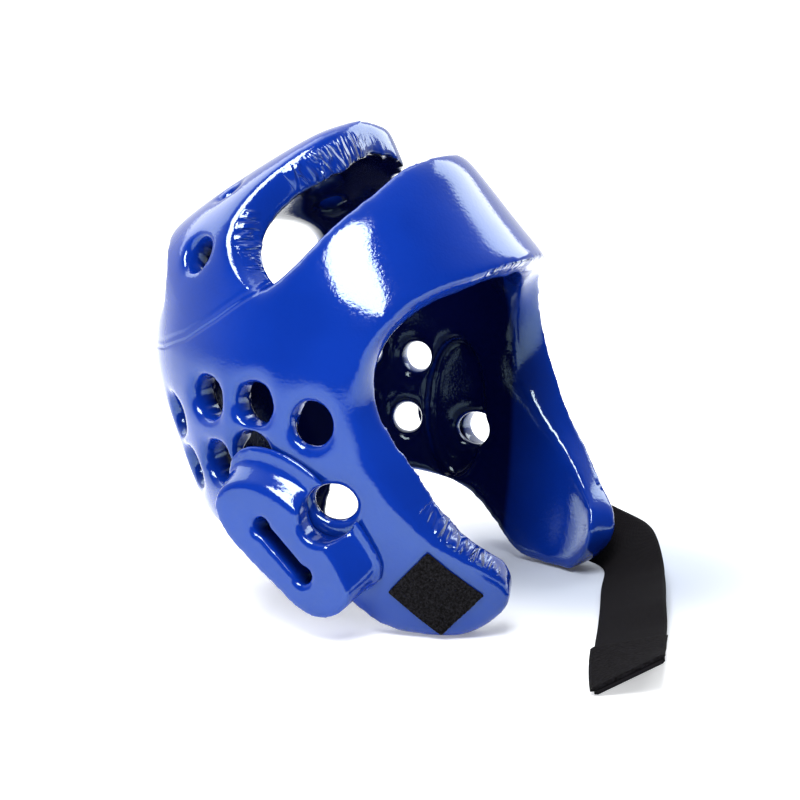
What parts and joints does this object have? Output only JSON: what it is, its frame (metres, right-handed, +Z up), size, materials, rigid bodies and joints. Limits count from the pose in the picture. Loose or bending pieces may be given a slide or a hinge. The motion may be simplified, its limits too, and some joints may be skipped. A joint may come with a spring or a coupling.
{
  "type": "taekwondo headgear",
  "caption": "Dipped-foam martial arts headgear with open face, ear pads, crescent vent, round air holes and a chin strap with hook-and-loop closure",
  "frame": {"origin": "middle of the bottom of the bounding box, on the floor the headgear stands on", "axes": "+X the wearer's left, -Y the way the face looks, +Z up from the floor"},
  "size_m": [0.247, 0.3124, 0.24],
  "materials": {
    "dipped_foam": "glossy vinyl dip over closed-cell foam, royal blue",
    "loop_pile": "black napped loop pile",
    "webbing": "near-black woven webbing with a fine rib",
    "hook_tape": "black hook tape, rough"
  },
  "bodies": {
    "root": {"head_shell": "dipped_foam", "crown_panel": "dipped_foam", "ear_pad_left": "dipped_foam", "ear_pad_right": "dipped_foam", "loop_patch": "loop_pile", "chin_strap": "webbing", "hook_tab": "hook_tape"}
  },
  "joints": []
}
